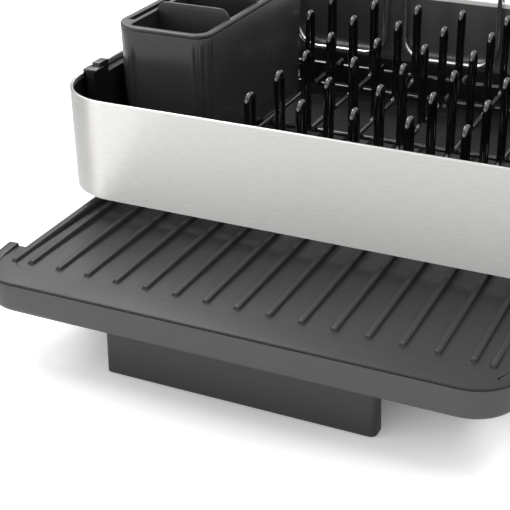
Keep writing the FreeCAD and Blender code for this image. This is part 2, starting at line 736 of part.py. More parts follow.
def rack_pads():
    """Four blocks clipped under the outer wire, on which the rack rests on the side ledges."""
    blocks = []
    for _, side in SIDES:
        for y in (WALL_FRONT + PAD_BLOCK_SETBACK, WALL_BACK - PAD_BLOCK_SETBACK):
            block = side_box(
                side, HALF_FRAME - PAD_BLOCK_WIDTH / 2, HALF_FRAME + PAD_BLOCK_WIDTH / 2,
                y - PAD_BLOCK_LENGTH / 2, y + PAD_BLOCK_LENGTH / 2, LEDGE_TOP, FRAME_HEIGHT,
            )
            groove = rod(
                side * HALF_FRAME, y - PAD_BLOCK_LENGTH, FRAME_HEIGHT, (0, 1, 0),
                FRAME_WIRE_RADIUS + SCREW_GAP, 2 * PAD_BLOCK_LENGTH,
            )
            blocks.append(block.cut(groove))
    return Part.makeCompound(blocks)


def caddy_outline(inset):
    """The caddy's outline in plan, drawn in by an inset."""
    return (
        CADDY_LEFT + inset, CADDY_LEFT + CADDY_WIDTH - inset,
        CADDY_FRONT + inset, CADDY_FRONT + CADDY_DEPTH - inset,
        tuple(corner - inset for corner in CADDY_CORNERS),
    )


def caddy_tub():
    """The caddy's outer tub, a little narrower at the bottom, with drain holes in its floor."""
    rim_bottom = CADDY_TOP - INSERT_RIM
    outer = tapered_plate(caddy_outline(CADDY_DRAFT), caddy_outline(0), CADDY_BOTTOM, rim_bottom)
    inner = tapered_plate(
        caddy_outline(CADDY_DRAFT + CADDY_WALL), caddy_outline(CADDY_WALL),
        CADDY_BOTTOM + CADDY_FLOOR, rim_bottom + 0.01,
    )
    tub = outer.cut(inner)
    middle_x = CADDY_LEFT + CADDY_WIDTH / 2
    spacing = CADDY_DEPTH / (DRAIN_COUNT + 1)
    for index in range(1, DRAIN_COUNT + 1):
        y = CADDY_FRONT + index * spacing
        tub = tub.cut(rod(middle_x, y, CADDY_BOTTOM - 1, (0, 0, 1), DRAIN_RADIUS, CADDY_FLOOR + 2))
    return tub


def bin_ranges(depth=0):
    """The cutlery bin's ranges at a depth below the rim: left, right, front and back."""
    draft = CADDY_DRAFT * depth / INSERT_DROP
    left = CADDY_LEFT + SLOT_INSET + KNIFE_SLOT + KNIFE_BAR + draft
    right = CADDY_LEFT + CADDY_WIDTH - INSERT_RIM_WIDTH - INSERT_WALL - draft
    front = CADDY_FRONT + INSERT_RIM_WIDTH + INSERT_WALL + draft
    back = CADDY_FRONT + CADDY_DEPTH - INSERT_RIM_WIDTH - INSERT_WALL - draft
    return left, right, front, back


def bin_outline(grow, depth=0):
    """The bin's outline, grown by its wall or not."""
    left, right, front, back = bin_ranges(depth)
    return left - grow, right + grow, front - grow, back + grow, BIN_CORNERS


def caddy_insert():
    """The insert that hangs in the tub: its rim, a slot for knives and a long bin for cutlery."""
    rim_bottom = CADDY_TOP - INSERT_RIM
    rim = plate(*caddy_outline(0), rim_bottom, CADDY_TOP)
    rim = fillet_where(rim, INSERT_RIM_ROUND, lambda edge: lies_at_height(edge, CADDY_TOP))
    low = CADDY_TOP - INSERT_DROP
    sleeve = tapered_plate(
        bin_outline(INSERT_WALL, INSERT_DROP), bin_outline(INSERT_WALL), low, CADDY_TOP - INSERT_RIM / 2,
    )
    floor = low + INSERT_WALL
    bin_room = tapered_plate(bin_outline(0, INSERT_DROP), bin_outline(0), floor, CADDY_TOP + 0.01)
    slot_left = CADDY_LEFT + SLOT_INSET
    slot = box(
        slot_left, slot_left + KNIFE_SLOT, CADDY_FRONT + SLOT_FRONT_INSET,
        CADDY_FRONT + CADDY_DEPTH - SLOT_FRONT_INSET, rim_bottom - 1, CADDY_TOP + 1,
    )
    body = rim.fuse(sleeve).cut(bin_room).cut(slot).removeSplitter()
    for place in DIVIDER_PLACES:
        body = body.cut(divider_plate(place, SCREW_GAP))
    return body


def divider_plate(place, grow):
    """One divider as a solid: its edges reach half into the bin's walls, and it stands above the rim."""
    half = DIVIDER_THICKNESS / 2 + grow
    reach = INSERT_WALL / 2 + grow
    y = CADDY_FRONT + place - half
    low = CADDY_TOP - INSERT_DROP + INSERT_WALL
    high = CADDY_TOP + DIVIDER_RISE
    corners = []
    for depth, z in ((INSERT_DROP, low), (0, high)):
        left, right, _, _ = bin_ranges(depth)
        corners.append((Vector(left - reach, y, z), Vector(right + reach, y, z)))
    outline = [corners[0][0], corners[0][1], corners[1][1], corners[1][0], corners[0][0]]
    return Part.Face(Part.makePolygon(outline)).extrude(Vector(0, 2 * half, 0))


def caddy_divider(place):
    """A plate across the bin, held in grooves in its walls, with rounded upper corners."""
    high = CADDY_TOP + DIVIDER_RISE
    return fillet_where(
        divider_plate(place, 0), DIVIDER_CORNER,
        lambda edge: lies_at_height(edge, high) and edge.BoundBox.XLength < DIVIDER_THICKNESS,
    )


def rod_loop(index):
    """A bright rod bent into a wide U inside the back wall, with both ends hooked over the hem."""
    middle = (index - (LOOP_COUNT - 1) / 2) * LOOP_PITCH
    inside = INNER_BACK - LOOP_STANDOFF - LOOP_ROD_RADIUS
    outside = BAND_BACK + REST_GAP + LOOP_ROD_RADIUS
    top = LOOP_HOOK_TOP - LOOP_ROD_RADIUS
    hook_end = top - LOOP_HOOK_DROP
    left = middle - LOOP_WIDTH / 2
    right = middle + LOOP_WIDTH / 2
    points = [
        Vector(left, outside, hook_end),
        Vector(left, outside, top),
        Vector(left, inside, top),
        Vector(left, inside, LOOP_SILL),
        Vector(right, inside, LOOP_SILL),
        Vector(right, inside, top),
        Vector(right, outside, top),
        Vector(right, outside, hook_end),
    ]
    bend = (outside - inside) / 2
    radii = [bend, bend, LOOP_CORNER, LOOP_CORNER, bend, bend]
    return bent_rod(points, radii, LOOP_ROD_RADIUS)


def all_parts():
    """Every sub-part by its name."""
    parts = {
        "steel_band": steel_band(),
        "rubber_feet": rubber_feet(),
        "beam_screws": beam_screws(),
        "drip_tray": drip_tray(),
        "rear_ledge": rear_ledge(),
        "ledge_screws": ledge_screws(),
        "tray_insert": tray_insert(),
        "tray_stops": tray_stops(),
        "tray_shell": tray_shell(),
        "tray_foot": tray_foot(),
        "foot_pads": foot_pads(),
        "foot_screws": foot_screws(),
        "frame_wire": frame_wire(),
        "rack_pads": rack_pads(),
        "caddy_tub": caddy_tub(),
        "caddy_insert": caddy_insert(),
        "caddy_divider_front": caddy_divider(DIVIDER_PLACES[0]),
        "caddy_divider_rear": caddy_divider(DIVIDER_PLACES[1]),
    }
    for name, side in SIDES:
        parts["side_wall_" + name] = side_wall(side)
        parts["slide_channel_" + name] = slide_channel(side)
        for end in ("front", "rear"):
            parts["leg_" + end + "_" + name] = leg(side, end)
    for end in ("front", "rear"):
        parts["cross_beam_" + end] = cross_beam(end)
    for index in range(CROSS_COUNT):
        parts["cross_wire_" + str(index + 1)] = cross_wire(index)
    for column in range(COLUMN_COUNT):
        parts["prong_wire_" + str(column + 1)] = prong_wire(column)
    for index in range(LOOP_COUNT):
        parts["rod_loop_" + str(index + 1)] = rod_loop(index)
    return parts


os.makedirs("parts", exist_ok=True)
for name, shape in all_parts().items():
    shape.exportStep(os.path.join("parts", name + ".step"))
    box_size = shape.BoundBox
    print(
        name, "solids", len(shape.Solids), "valid", shape.isValid(), "volume", round(shape.Volume),
        "x", round(box_size.XMin, 1), round(box_size.XMax, 1),
        "y", round(box_size.YMin, 1), round(box_size.YMax, 1),
        "z", round(box_size.ZMin, 1), round(box_size.ZMax, 1),
    )
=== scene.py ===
# %% [markdown]
# # A dish rack with a tray that slides out
#
# This lesson dresses a dish rack: a steel band round a wire rack, a cutlery caddy, and a ribbed
# draining tray that slides out in front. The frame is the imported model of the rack. Every node in
# it is a real piece, in metres, with X to the right, Y from the tray to the back wall and Z up from
# the counter. Each piece could be drawn again by eye, but one that takes its place from the frame
# fits its neighbours from the start, so the frame is loaded first.

# %% Load the frame
import json
import math
import bpy
import bmesh
from mathutils import Matrix, Vector


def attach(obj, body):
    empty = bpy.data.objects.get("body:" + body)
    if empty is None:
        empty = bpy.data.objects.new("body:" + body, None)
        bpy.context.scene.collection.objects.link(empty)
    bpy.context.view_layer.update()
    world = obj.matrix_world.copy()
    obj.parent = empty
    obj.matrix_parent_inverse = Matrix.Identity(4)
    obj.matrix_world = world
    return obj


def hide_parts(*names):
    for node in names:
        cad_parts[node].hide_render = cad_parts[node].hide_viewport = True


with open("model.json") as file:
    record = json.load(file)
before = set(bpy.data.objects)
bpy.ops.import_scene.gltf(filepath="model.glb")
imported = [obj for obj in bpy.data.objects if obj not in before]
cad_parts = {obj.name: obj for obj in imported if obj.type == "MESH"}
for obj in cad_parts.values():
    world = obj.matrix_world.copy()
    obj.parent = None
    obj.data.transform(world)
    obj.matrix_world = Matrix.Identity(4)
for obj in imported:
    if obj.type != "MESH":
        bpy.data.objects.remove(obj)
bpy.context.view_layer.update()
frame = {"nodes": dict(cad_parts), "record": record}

nodes = frame["nodes"]
scene = bpy.context.scene

# %% [markdown]
# ## The camera
#
# A product photograph of a rack is taken from a little above and to one side, from about a metre
# away. A camera could be aimed by eye, but the place and the turn of this one were worked out from
# the lines that run away from it on the object: the ribs, the long edges and the uprights. The
# picture is cut off centre, so the lens is shifted sideways and the camera isn't turned for it.

# %% Place the camera
CAMERA_PLACE = (0.2750, -0.7357, 0.4141)
camera_right = Vector((0.91744, 0.39789, 0.0))
camera_up = Vector((-0.18406, 0.42442, 0.88657))
camera_data = bpy.data.cameras.new("camera")
camera_data.sensor_width = 36.0
camera_data.lens = 86.58
camera_data.shift_x = -0.0882
camera_data.clip_start = 0.05
camera_data.clip_end = 20.0
camera = bpy.data.objects.new("camera", camera_data)
scene.collection.objects.link(camera)
camera_back = camera_right.cross(camera_up)
turn = Matrix((camera_right, camera_up, camera_back)).transposed()
camera.matrix_world = Matrix.Translation(CAMERA_PLACE) @ turn.to_4x4()
scene.camera = camera
print("camera at", tuple(round(v, 3) for v in camera.location))

# %% [markdown]
# ## The lamps
#
# The rack stands in a small studio under soft boxes. One large lamp overhead would be simpler, but
# it lays a broad grey haze on every black wire. Two narrow strips over the rack keep the highlights
# on the wires thin. A small lamp behind on the left gives the sheen on that side of the tray, the
# bright line along the band's hem and the sparks on the prongs. A large lamp in front fills the
# faces that look at the camera, and one at the left lights the band beside its round corner.

# %% Set up the lamps
def soft_box(name, place, target, width, height, power):
    """A rectangular lamp that looks at a point."""
    lamp_data = bpy.data.lights.new(name, "AREA")
    lamp_data.shape = "RECTANGLE"
    lamp_data.size = width
    lamp_data.size_y = height
    lamp_data.energy = power
    lamp = bpy.data.objects.new(name, lamp_data)
    scene.collection.objects.link(lamp)
    lamp.location = place
    lamp.rotation_euler = (Vector(target) - Vector(place)).to_track_quat("-Z", "Y").to_euler()
    print(name, power, "W")
    return lamp


soft_box("lamp_strip_left", (-0.6, 0.1, 1.2), (-0.05, 0.0, 0.05), 1.3, 0.3, 7.0)
soft_box("lamp_strip_right", (0.6, 0.1, 1.3), (0.05, 0.0, 0.05), 1.3, 0.3, 5.5)
soft_box("lamp_spark", (-0.72, 0.52, 0.85), (0, 0.0, 0.1), 0.45, 0.25, 4.5)
soft_box("lamp_front", (-0.2, -2.0, 0.9), (0, -0.1, 0.08), 2.0, 1.0, 9.0)
soft_box("lamp_side", (-1.25, -1.2, 0.75), (0, -0.1, 0.1), 0.8, 0.9, 4.0)

# %% [markdown]
# ## Colours and nodes
#
# Every colour below is written as it looks on a screen, as sRGB hex, because that is how a colour
# is read off a real thing. Blender mixes light in linear values, so one function turns the one into
# the other. Materials are trees of nodes. They could be wired by hand in the node editor, but a
# function that adds one node, sets it and links it keeps each tree short enough to read.

# %% Helpers for colours and nodes
def linear(hex_colour):
    """An sRGB hex colour as a linear colour with alpha 1."""
    channels = [int(hex_colour[i:i + 2], 16) / 255 for i in (1, 3, 5)]
    return [c / 12.92 if c <= 0.04045 else ((c + 0.055) / 1.055) ** 2.4 for c in channels] + [1.0]


def add_node(tree, kind, settings=None, inputs=None, links=None):
    """Adds a node to a tree, with its settings, its input values and the sockets that feed it."""
    node = tree.nodes.new(kind)
    for name, value in (settings or {}).items():
        setattr(node, name, value)
    for name, value in (inputs or {}).items():
        node.inputs[name].default_value = value
    for name, socket in (links or {}).items():
        tree.links.new(socket, node.inputs[name])
    return node


WHITE = linear("#ffffff")
print("a mid grey of #808080 is", round(linear("#808080")[0], 3), "in linear light")

# %% [markdown]
# ## The white surround
#
# Round the rack everything is white, and that is what steel and glossy vinyl mirror. White boards
# could stand there as objects. A white world does the same without any mesh: it is full white for
# the camera and for mirrors, and only half as bright where it lights the rack, so that the lamps
# still shape the pieces.

# %% Paint the world
world = bpy.data.worlds.new("studio")
world.use_nodes = True
scene.world = world
world_tree = world.node_tree
world_tree.nodes.clear()
rays = add_node(world_tree, "ShaderNodeLightPath")
direct = add_node(world_tree, "ShaderNodeMath", {"operation": "MAXIMUM"},
                  links={0: rays.outputs["Is Camera Ray"], 1: rays.outputs["Is Transmission Ray"]})
seen = add_node(world_tree, "ShaderNodeMath", {"operation": "MAXIMUM"},
                links={0: direct.outputs[0], 1: rays.outputs["Is Glossy Ray"]})
glow = add_node(world_tree, "ShaderNodeBackground", inputs={"Color": WHITE, "Strength": 0.5})
backdrop = add_node(world_tree, "ShaderNodeBackground", inputs={"Color": WHITE, "Strength": 1.0})
mixed = add_node(world_tree, "ShaderNodeMixShader",
                 links={0: seen.outputs[0], 1: glow.outputs[0], 2: backdrop.outputs[0]})
add_node(world_tree, "ShaderNodeOutputWorld", links={"Surface": mixed.outputs[0]})
scene.view_settings.view_transform = "Standard"
print("world nodes", len(world_tree.nodes))

# %% [markdown]
# ## The grey card
#
# A steel band in an all white room has no shape: it mirrors white on every side. A studio holds a
# grey card next to it, and the band's round corner then turns grey where it faces the card. A grey
# patch painted on the band would give the same picture, but it would be wrong from every other
# side. So a card stands at the left here too. Only mirrors see it, and it throws no shadow.

# %% Stand a grey card in the reflections
CARD_PLACE = (-1.68, 0.35, 0.7)
CARD_TURN = (math.radians(90), 0, math.radians(78))
CARD_GREY = 0.45
bpy.ops.object.select_all(action="DESELECT")
bpy.ops.mesh.primitive_plane_add(size=1.0, location=CARD_PLACE, rotation=CARD_TURN)
card = bpy.context.object
card.name = "grey_card"
bpy.ops.transform.resize(value=(2.3, 2.3, 1.6), center_override=card.location)
bpy.ops.object.transform_apply(location=True, rotation=True, scale=True)
card_paint = bpy.data.materials.new("card_for_mirrors_only")
card_paint.use_nodes = True
card_tree = card_paint.node_tree
card_tree.nodes.clear()
card_rays = add_node(card_tree, "ShaderNodeLightPath")
clear = add_node(card_tree, "ShaderNodeBsdfTransparent")
grey = add_node(card_tree, "ShaderNodeEmission", inputs={"Color": WHITE, "Strength": CARD_GREY})
card_mix = add_node(
    card_tree, "ShaderNodeMixShader",
    links={0: card_rays.outputs["Is Glossy Ray"], 1: clear.outputs[0], 2: grey.outputs[0]},
)
add_node(card_tree, "ShaderNodeOutputMaterial", links={"Surface": card_mix.outputs[0]})
card.data.materials.append(card_paint)
print("card of", [round(side, 2) for side in card.dimensions], "m")

# %% [markdown]
# ## The floor
#
# The rack stands on a white paper sweep with a soft grey shadow round its feet. White paint alone
# comes out pale grey, and more light would burn out the rack. So the paper also glows a little, for
# the camera only, and more with the distance from the rack: it ends in pure white, it lights
# nothing, and the shadow near the rack stays.

# %% Lay the floor
bpy.ops.object.select_all(action="DESELECT")
bpy.ops.mesh.primitive_plane_add(size=6.0, location=(0, 0, -0.0002))
floor = bpy.context.object
floor.name = "floor"
print("floor", [round(side, 2) for side in floor.dimensions[:2]], "m")

# %% Paint the floor
GLOW_STARTS, GLOW_FULL = 0.17, 0.31
GLOW_NEAR, GLOW_FAR = 0.1, 0.6
floor_paint = bpy.data.materials.new("white_sweep")
floor_paint.use_nodes = True
floor_tree = floor_paint.node_tree
floor_tree.nodes.clear()
paper = add_node(floor_tree, "ShaderNodeBsdfDiffuse", inputs={"Color": WHITE})
floor_place = add_node(floor_tree, "ShaderNodeTexCoord")
from_rack = add_node(floor_tree, "ShaderNodeVectorMath", {"operation": "DISTANCE"},
                     {1: (0.0, 0.0, 0.0)}, {0: floor_place.outputs["Object"]})
away = add_node(floor_tree, "ShaderNodeMapRange", {"interpolation_type": "SMOOTHSTEP"},
                {"From Min": GLOW_STARTS, "From Max": GLOW_FULL,
                 "To Min": GLOW_NEAR, "To Max": GLOW_FAR},
                {"Value": from_rack.outputs["Value"]})
floor_rays = add_node(floor_tree, "ShaderNodeLightPath")
floor_glow = add_node(floor_tree, "ShaderNodeMath", {"operation": "MULTIPLY"},
                      links={0: away.outputs[0], 1: floor_rays.outputs["Is Camera Ray"]})
floor_light = add_node(floor_tree, "ShaderNodeEmission", inputs={"Color": WHITE},
                       links={"Strength": floor_glow.outputs[0]})
floor_sum = add_node(floor_tree, "ShaderNodeAddShader",
                     links={0: paper.outputs[0], 1: floor_light.outputs[0]})
add_node(floor_tree, "ShaderNodeOutputMaterial", links={"Surface": floor_sum.outputs[0]})
floor.data.materials.append(floor_paint)
print("floor nodes", len(floor_tree.nodes))

# %% [markdown]
# ## The finishes
#
# Five kinds of surface make up the rack: brushed sheet, polished rod, black coated wire, moulded
# plastic in several greys, and rubber. Photographs of each could be laid on as textures, but they
# show seams and a repeat. Patterns made by nodes have neither. They keep their real size in
# millimetres, and because they read object coordinates they stay on a piece wherever it moves.

# %% Start a material
def start_material(name, colour, metallic, roughness):
    """A new material with one shader, and the object coordinates that its patterns use."""
    material = bpy.data.materials.new(name)
    material.use_nodes = True
    tree = material.node_tree
    tree.nodes.clear()
    shader = add_node(
        tree, "ShaderNodeBsdfPrincipled",
        inputs={"Base Color": linear(colour), "Metallic": metallic, "Roughness": roughness},
    )
    add_node(tree, "ShaderNodeOutputMaterial", links={"Surface": shader.outputs[0]})
    place = add_node(tree, "ShaderNodeTexCoord")
    print(name, colour, "metallic", metallic, "roughness", roughness)
    return material, tree, shader, place.outputs["Object"]


# %% [markdown]
# ### Brushed stainless steel
#
# The band is rolled sheet, brushed along its length with a fine belt. The belt leaves hair lines
# that run level round the band and spread each reflection up and down, so the eye sees a silky
# sheen and never a clear mirror. The lines could be cut into the mesh, but real ones are only about
# 0.1 mm apart. A noise that is stretched level does it, with small changes of roughness, shade and
# relief. It is drawn 0.35 mm apart on the band, because anything finer doesn't show.

# %% Brushed stainless steel
HAIRS_PER_METRE_LEVEL = 110.0  # a hair line is about 9 mm long


def brushed_steel(name, colour, roughness, line_spacing_mm, anisotropy=0.98, depth=0.09):
    """Steel with level hair lines; depth says how much they change roughness, shade and relief."""
    material, tree, shader, place = start_material(name, colour, 1.0, roughness)
    lines_per_metre = 1000 / line_spacing_mm
    stretch = add_node(
        tree, "ShaderNodeMapping",
        inputs={"Scale": (HAIRS_PER_METRE_LEVEL, HAIRS_PER_METRE_LEVEL, lines_per_metre)},
        links={"Vector": place},
    )
    hair = add_node(tree, "ShaderNodeTexNoise",
                    inputs={"Scale": 1.0, "Detail": 3.0, "Roughness": 0.6},
                    links={"Vector": stretch.outputs[0]})
    spread = add_node(
        tree, "ShaderNodeMapRange",
        inputs={"From Min": 0.3, "From Max": 0.7,
                "To Min": roughness - depth / 2, "To Max": roughness + depth / 2},
        links={"Value": hair.outputs["Fac"]},
    )
    tree.links.new(spread.outputs[0], shader.inputs["Roughness"])
    shade = add_node(
        tree, "ShaderNodeMapRange",
        inputs={"From Min": 0.3, "From Max": 0.7, "To Min": 1 - depth, "To Max": 1 + depth},
        links={"Value": hair.outputs["Fac"]},
    )
    paint = add_node(tree, "ShaderNodeVectorMath", {"operation": "SCALE"},
                     {0: linear(colour)[:3]}, {"Scale": shade.outputs[0]})
    tree.links.new(paint.outputs[0], shader.inputs["Base Color"])
    relief = add_node(tree, "ShaderNodeBump", inputs={"Strength": depth * 3, "Distance": 0.00006},
                      links={"Height": hair.outputs["Fac"]})
    tree.links.new(relief.outputs[0], shader.inputs["Normal"])
    shader.inputs["Anisotropic"].default_value = anisotropy
    shader.inputs["Anisotropic Rotation"].default_value = 0.25
    around = add_node(tree, "ShaderNodeTangent", {"direction_type": "RADIAL", "axis": "Z"})
    tree.links.new(around.outputs[0], shader.inputs["Tangent"])
    return material


# %% [markdown]
# ### Moulded plastic
#
# Tray, base and caddy are ABS, pressed into steel moulds with a fine spark-eroded skin. That leaves
# an even matt grain about a third of a millimetre across, which breaks up reflections, and a slight
# cloudiness where the melt flowed. One flat grey would look like paper. A fine noise gives the
# grain as relief, and a broad one moves the shade and the gloss by a few percent.

# %% Moulded plastic
CLOUDS_PER_METRE = 22.0  # the cloudiness is about 45 mm across
FINEST_LUMPS = 4  # the finest lumps of the noise are a fourth of its size


def moulded_plastic(name, colour, roughness, grain_mm=0.35, ior=1.5):
    """Plastic or rubber from a grained mould, with a faint cloudiness."""
    material, tree, shader, place = start_material(name, colour, 0.0, roughness)
    shader.inputs["IOR"].default_value = ior
    grain = add_node(
        tree, "ShaderNodeTexNoise",
        inputs={"Scale": 1000 / grain_mm / FINEST_LUMPS, "Detail": 2.0, "Roughness": 0.5},
        links={"Vector": place},
    )
    cloud = add_node(tree, "ShaderNodeTexNoise",
                     inputs={"Scale": CLOUDS_PER_METRE, "Detail": 3.0, "Roughness": 0.55},
                     links={"Vector": place})
    shade = add_node(tree, "ShaderNodeMapRange",
                     inputs={"From Min": 0.35, "From Max": 0.65, "To Min": 0.97, "To Max": 1.03},
                     links={"Value": cloud.outputs["Fac"]})
    paint = add_node(tree, "ShaderNodeVectorMath", {"operation": "SCALE"},
                     {0: linear(colour)[:3]}, {"Scale": shade.outputs[0]})
    tree.links.new(paint.outputs[0], shader.inputs["Base Color"])
    sheen = add_node(
        tree, "ShaderNodeMapRange",
        inputs={"From Min": 0.3, "From Max": 0.7,
                "To Min": roughness - 0.02, "To Max": roughness + 0.02},
        links={"Value": cloud.outputs["Fac"]},
    )
    tree.links.new(sheen.outputs[0], shader.inputs["Roughness"])
    relief = add_node(tree, "ShaderNodeBump", inputs={"Strength": 0.35, "Distance": 0.00003},
                      links={"Height": grain.outputs["Fac"]})
    tree.links.new(relief.outputs[0], shader.inputs["Normal"])
    return material


# %% [markdown]
# ### Coated wire
#
# The rack's steel wires are dipped in liquid black vinyl, which sets with a glossy, slightly wavy
# skin. A perfect black mirror would look like glass. Low waves about 4 mm long, with a little
# change in gloss along them, make each highlight swell and thin out as it does on a dipped wire.

# %% Coated wire
WAVES_PER_METRE = 260.0
VINYL_IOR = 1.8  # above plain vinyl's 1.5, for the strong shine of a thick wet-looking skin


def coated_wire(name, colour, roughness):
    """Black vinyl with a glossy, slightly wavy skin."""
    material, tree, shader, place = start_material(name, colour, 0.0, roughness)
    shader.inputs["IOR"].default_value = VINYL_IOR
    waves = add_node(tree, "ShaderNodeTexNoise", inputs={"Scale": WAVES_PER_METRE, "Detail": 1.0},
                     links={"Vector": place})
    relief = add_node(tree, "ShaderNodeBump", inputs={"Strength": 0.06, "Distance": 0.0002},
                      links={"Height": waves.outputs["Fac"]})
    tree.links.new(relief.outputs[0], shader.inputs["Normal"])
    spread = add_node(
        tree, "ShaderNodeMapRange",
        inputs={"From Min": 0.3, "From Max": 0.7,
                "To Min": roughness - 0.03, "To Max": roughness + 0.05},
        links={"Value": waves.outputs["Fac"]},
    )
    tree.links.new(spread.outputs[0], shader.inputs["Roughness"])
    return material


# %% [markdown]
# ### Polished rod
#
# The loops are drawn stainless rod, polished until they mirror the room. Brushed steel's recipe
# would make them dull, so they get a plain metal with low roughness, in which marks about 1 mm
# apart change the gloss by a twentieth, as faint drawing lines do.

# %% Polished rod
MARKS_PER_METRE = 900.0


def polished_rod(name, colour, roughness):
    """Polished metal with faint drawing marks."""
    material, tree, shader, place = start_material(name, colour, 1.0, roughness)
    marks = add_node(tree, "ShaderNodeTexNoise", inputs={"Scale": MARKS_PER_METRE, "Detail": 2.0},
                     links={"Vector": place})
    spread = add_node(
        tree, "ShaderNodeMapRange",
        inputs={"From Min": 0.3, "From Max": 0.7,
                "To Min": roughness * 0.95, "To Max": roughness * 1.05},
        links={"Value": marks.outputs["Fac"]},
    )
    tree.links.new(spread.outputs[0], shader.inputs["Roughness"])
    return material


# %% [markdown]
# ### The rack's own finishes
#
# Each recipe is now mixed for the pieces that have it. Every grey could be the same, but the parts
# of a real rack come from different moulds and batches, and the eye tells them apart by small steps
# in shade and gloss. The colours are matched to how the pieces look under this studio's light. The
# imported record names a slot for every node, and that slot says which finish the node is given.

# %% Mix the metals and the vinyl
# The belt-brushed band: pale and silky, with a soft light that runs up and down it.
band_steel = brushed_steel("brushed_stainless_band", "#d3d2d0", 0.42, 0.35)
# The same sheet as it leaves the rolls: smooth, with its colour painted darker as shade for the
# dark rack it mirrors.
band_inside_painted_shade = brushed_steel("mill_finish_band_inside_painted_shade", "#8c8b8a", 0.3, 0.4, 0.5, 0.015)
# Turned screw heads of plain steel: small dull discs.
screw_steel = brushed_steel("plain_steel_screws", "#a8a8a8", 0.4, 0.5)
# Polished rod: bright lines with dark edges.
rod_steel = polished_rod("polished_stainless_rod", "#e4e4e4", 0.2)
# Dipped vinyl: deep black, with thin white highlights.
wire_vinyl = coated_wire("black_vinyl_coating", "#050505", 0.07)

# %% Mix the plastics and the rubber
# The tray's sheet, from a coarse matt mould: dark grey that brightens only at a low angle.
tray_plastic = moulded_plastic("matt_grey_abs_tray", "#252525", 0.48, ior=1.4)
# The tray's casing, from a smoother mould: a lighter grey that sets off the parting line.
shell_plastic = moulded_plastic("satin_grey_abs_casing", "#484848", 0.4)
# The foot below it: grey again, and dull.
foot_plastic = moulded_plastic("matt_grey_abs_foot", "#363636", 0.5)
# The base and the side walls: near black, so that they stay in the shadow of the band.
base_plastic = moulded_plastic("black_abs_base", "#101010", 0.42)
# The caddy's tub, from a well polished mould: black with a broad soft shine on its walls,
# and a colour lighter than the liner's as a painted sheen.
caddy_plastic = moulded_plastic("black_abs_tub_painted_sheen", "#353537", 0.26)
# The liner and its rim: the tub's black without the painted sheen, and less polished.
liner_plastic = moulded_plastic("black_abs_liner", "#242426", 0.4)
# Feet and pads of black rubber: no shine at all, with a coarser grain.
rubber = moulded_plastic("black_rubber", "#141414", 0.75, 0.6)

# %% Give every node its finish
finish_of_slot = {
    "band_steel": band_steel, "screw_steel": screw_steel, "bright_rod": rod_steel,
    "coated_wire": wire_vinyl, "tray_plastic": tray_plastic, "shell_plastic": shell_plastic,
    "foot_plastic": foot_plastic, "base_plastic": base_plastic, "caddy_plastic": caddy_plastic,
    "liner_plastic": liner_plastic, "rubber": rubber,
}
slot_of_node = {part["node"]: part["material_slot"] for part in frame["record"]["subparts"]}
for name, node in nodes.items():
    node.data.materials.clear()
    node.data.materials.append(finish_of_slot[slot_of_node[name]])
print("finishes", len(finish_of_slot))

# %% [markdown]
# ## Modelling by hand, in code
#
# The pieces that show most are modelled afresh: a flat outline first, then insets, extrusions and
# bevels. A list of vertices worked out in advance would make the same mesh, but nobody could follow
# it. Small helpers do what the mouse would do: one lays down a rectangle in edit mode, one selects
# vertices, edges or faces by their place, one cuts and one moves. The details are tenths of a
# millimetre, so a piece is drawn with one unit to the millimetre and set down to metres at the end.

# %% Helpers for shaping
def move(x=0.0, y=0.0, z=0.0):
    """Moves what is selected, in millimetres."""
    bpy.ops.transform.translate(value=(x, y, z))


def flat_piece(name, x_range, y_range, z):
    """A rectangle at a height, in millimetres, open in edit mode and selected all over."""
    bpy.ops.object.select_all(action="DESELECT")
    bpy.ops.mesh.primitive_plane_add(size=1.0, location=(0, 0, 0))
    piece = bpy.context.object
    piece.name = name
    piece.data.name = name
    bpy.ops.object.mode_set(mode="EDIT")
    bpy.ops.mesh.select_all(action="SELECT")
    width, depth = x_range[1] - x_range[0], y_range[1] - y_range[0]
    bpy.ops.transform.resize(value=(width, depth, 1.0), center_override=(0, 0, 0))
    move(sum(x_range) / 2, sum(y_range) / 2, z)
    print(name, round(width, 2), "by", round(depth, 2), "mm")
    return piece


def cut(axis, at, clear_beyond=False):
    """Cuts the whole mesh by a plane across an axis, at a place in millimetres."""
    bpy.ops.mesh.select_all(action="SELECT")
    normal = [1.0 if name == axis else 0.0 for name in "xyz"]
    bpy.ops.mesh.bisect(
        plane_co=[value * at for value in normal], plane_no=normal,
        clear_outer=clear_beyond, threshold=0.001,
    )


# %% Helpers for selecting
def pick(piece, kind, wanted):
    """Selects the vertices, edges or faces whose middle passes a test, and counts them."""
    bpy.ops.mesh.select_mode(type=kind)
    bpy.ops.mesh.select_all(action="DESELECT")
    mesh = bmesh.from_edit_mesh(piece.data)
    parts = {"VERT": mesh.verts, "EDGE": mesh.edges, "FACE": mesh.faces}[kind]
    mesh.normal_update()
    count = 0
    for part in parts:
        ends = [part] if kind == "VERT" else part.verts
        middle = sum((end.co for end in ends), Vector()) / len(ends)
        if wanted(middle, part):
            part.select_set(True)
            count += 1
    mesh.select_flush_mode()
    bmesh.update_edit_mesh(piece.data)
    return count


def is_sharp(edge, degrees):
    """True where two faces meet at an edge with more than this angle between them."""
    return len(edge.link_faces) == 2 and edge.calc_face_angle() > math.radians(degrees)


SQUARE_EDGE = 60  # degrees; edges are rounded where faces meet at more than this angle

# %% Helpers for finishing
MM = 0.001
body_of_node = {
    node: body for body, names in frame["record"]["behaviour"]["bodies"].items() for node in names
}


def stand_for(piece, node):
    """Lets a piece take the place of a node, with its finish and on its body."""
    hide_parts(node)
    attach(piece, body_of_node[node])
    print(piece.name, "faces", len(piece.data.polygons))


